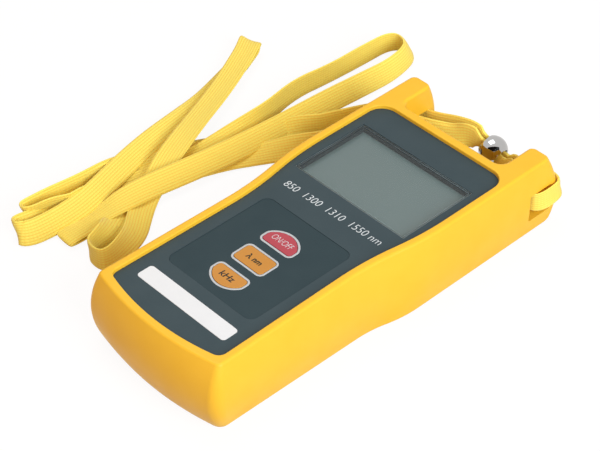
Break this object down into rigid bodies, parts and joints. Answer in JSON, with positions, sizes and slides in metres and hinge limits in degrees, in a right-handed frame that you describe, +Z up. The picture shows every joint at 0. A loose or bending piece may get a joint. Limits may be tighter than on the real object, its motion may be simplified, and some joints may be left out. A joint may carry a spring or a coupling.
{
  "type": "optical light source",
  "caption": "Hand-held fibre test light source in a waisted yellow rubber boot with slotted ears, dark panel, display, keys, hinged battery door and a flat braided lanyard.",
  "frame": {"origin": "on the boot's flat back, on the surface it lies on, under the middle of the instrument", "axes": "+X across the front panel to its right, +Y from the rounded end to the lanyard ears, +Z up out of the front panel"},
  "size_m": [0.1673, 0.2122, 0.0312],
  "materials": {
    "boot_rubber": "satin moulded rubber",
    "case_plastic": "fine grain",
    "panel_film": "satin film",
    "keypad_film": "satin film",
    "white_plate": "satin",
    "clear_lens": "clear",
    "display_glass": "grey green",
    "board": "solder mask",
    "chip": "matt",
    "steel": "bright",
    "cell": "sleeved",
    "plated_brass": "nickel plated",
    "ceramic": "ground",
    "alloy": "milled",
    "red_key": "satin",
    "orange_key": "satin",
    "strap": "flat braid",
    "chrome": "polished"
  },
  "bodies": {
    "instrument": {"protective_boot": "boot_rubber", "front_case": "case_plastic", "rear_case": "case_plastic", "front_panel": "panel_film", "keypad_plate": "keypad_film", "label_plate": "white_plate", "display_window": "clear_lens", "lcd_panel": "display_glass", "lcd_backlight": "white_plate", "lcd_holder": "case_plastic", "main_board": "board", "controller_chip": "chip", "driver_chip": "chip", "key_switches": "chip", "case_screws": "steel", "board_screws": "steel", "adapter_screws": "steel", "spring_contacts": "steel", "plate_contacts": "steel", "battery_cell_1": "cell", "battery_cell_2": "cell", "battery_cell_3": "cell", "fc_adapter": "plated_brass", "ceramic_sleeve": "ceramic", "laser_module": "steel", "laser_clamp": "alloy", "lanyard": "strap"},
    "on_off_button": {"on_off_key": "red_key"},
    "wave_button": {"wave_key": "orange_key"},
    "mode_button": {"mode_key": "orange_key"},
    "door": {"battery_door": "case_plastic"},
    "bead": {"lanyard_bead": "chrome"}
  },
  "joints": [
    {"name": "on_off_press", "type": "slide", "parent": "instrument", "child": "on_off_button", "axis": [0, 0, -1], "range_m": [0, 0.00035], "stiffness_N_per_m": 2000},
    {"name": "wave_press", "type": "slide", "parent": "instrument", "child": "wave_button", "axis": [0, 0, -1], "range_m": [0, 0.00035], "stiffness_N_per_m": 2000},
    {"name": "mode_press", "type": "slide", "parent": "instrument", "child": "mode_button", "axis": [0, 0, -1], "range_m": [0, 0.00035], "stiffness_N_per_m": 2000},
    {"name": "door_hinge", "type": "hinge", "parent": "instrument", "child": "door", "pos_m": [0, -0.0696, 0.00315], "axis": [-1, 0, 0], "range_deg": [0, 75]},
    {"name": "bead_slide", "type": "slide", "parent": "instrument", "child": "bead", "axis": [0.9397, 0, -0.342], "range_m": [-0.002, 0.002]}
  ]
}
